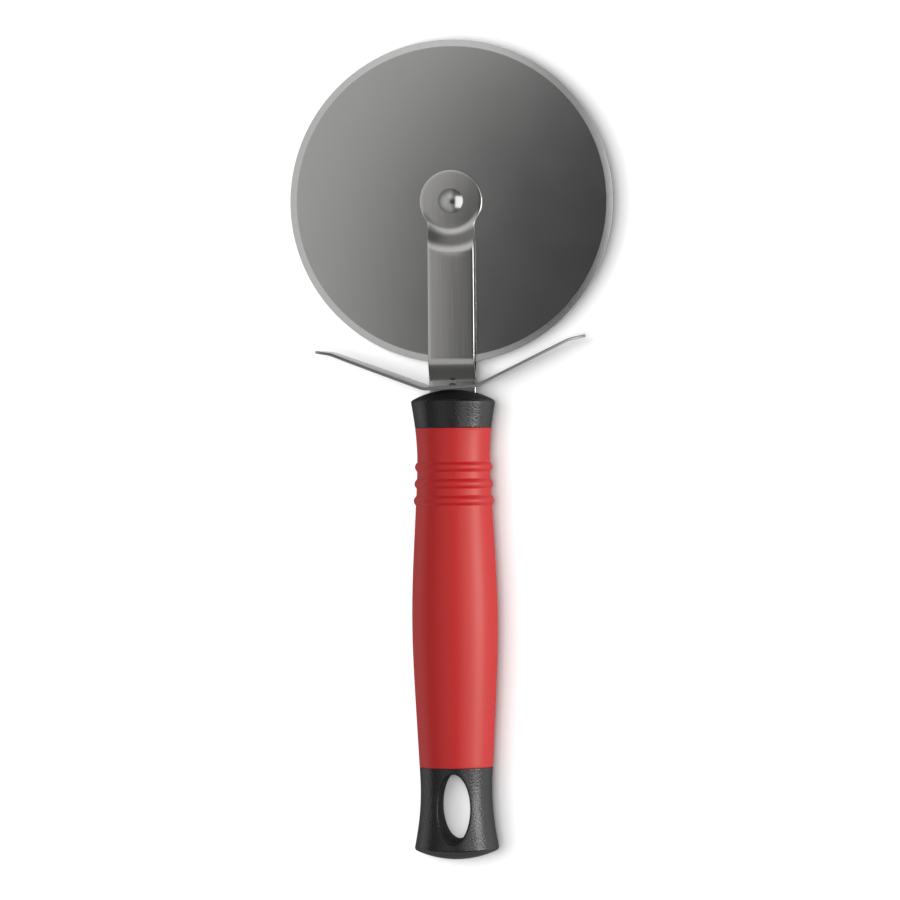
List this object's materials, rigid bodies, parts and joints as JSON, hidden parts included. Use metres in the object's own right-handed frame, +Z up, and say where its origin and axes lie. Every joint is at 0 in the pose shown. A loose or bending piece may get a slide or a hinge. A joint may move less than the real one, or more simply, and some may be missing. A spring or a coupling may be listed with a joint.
{
  "type": "pizza cutter wheel",
  "caption": "Hand-held pizza wheel with a bevelled steel disc turning in a two-arm fork, a leaf-shaped finger guard and a soft sleeved handle with an oval hanging hole.",
  "frame": {"origin": "centre of the box's underside, with the tool lying flat on its handle", "axes": "+Y along the tool from the hanging hole to the blade, +Z up along the blade's axis, +X across"},
  "size_m": [0.1, 0.253, 0.0264],
  "materials": {
    "blade_steel": "fine ground faces, satin bevel",
    "arm_steel": "brushed lengthways, stamped edges eased",
    "guard_steel": "satin",
    "rivet_steel": "polished",
    "inner_steel": "turned",
    "acetal": "moulded, natural",
    "black_plastic": "fine moulded texture",
    "core_nylon": "moulded",
    "red_silicone": "matt, soft sheen"
  },
  "bodies": {
    "handle": {"front_arm": "arm_steel", "rear_arm": "arm_steel", "pivot_sleeve": "inner_steel", "pivot_rivet": "rivet_steel", "fork_rivet": "arm_steel", "guard": "guard_steel", "collar": "black_plastic", "handle_core": "core_nylon", "tang_pins": "inner_steel", "grip": "red_silicone", "end_cap": "black_plastic"},
    "wheel": {"blade": "blade_steel", "front_bush": "acetal", "rear_bush": "acetal"}
  },
  "joints": [
    {"name": "blade_spin", "type": "hinge", "parent": "handle", "child": "wheel", "pos_m": [0, 0.0765, 0.0132], "axis": [0, 0, 1], "continuous": true}
  ]
}
